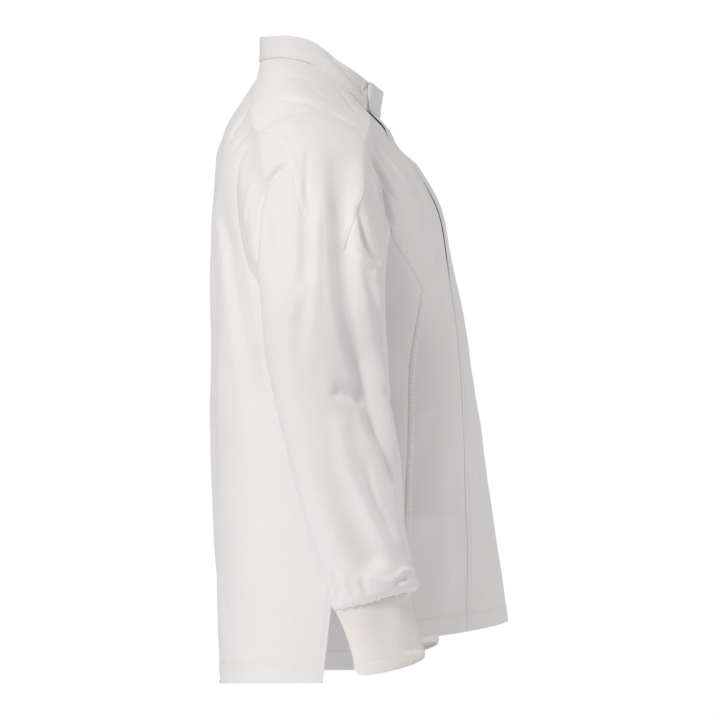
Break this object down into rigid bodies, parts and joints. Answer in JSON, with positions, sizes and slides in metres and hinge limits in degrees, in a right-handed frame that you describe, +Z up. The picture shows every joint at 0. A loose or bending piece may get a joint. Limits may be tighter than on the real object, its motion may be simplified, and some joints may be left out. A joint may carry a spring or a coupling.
{
  "type": "uniform tunic with overlapped front",
  "caption": "Hollow long-sleeved work tunic with a stand collar, overlapped front, saddle yokes pointed onto the sleeves, side panels, side slits and knitted cuffs.",
  "frame": {"origin": "between the shoulders at the base of the neck, where the wearer's shoulders carry the garment", "axes": "+Z up, the front faces -Y, the wearer's right side is at -X"},
  "size_m": [0.604, 0.3497, 0.7598],
  "materials": {
    "cloth": "matte white twill of cotton and polyester",
    "rib": "matte white rib knit, slightly warmer"
  },
  "bodies": {
    "root": {"back": "cloth", "front_right": "cloth", "front_left": "cloth", "side_panel_right": "cloth", "side_panel_left": "cloth", "yoke_right": "cloth", "yoke_left": "cloth", "sleeve_right": "cloth", "sleeve_left": "cloth", "cuff_right": "rib", "cuff_left": "rib", "collar": "cloth"}
  },
  "joints": []
}
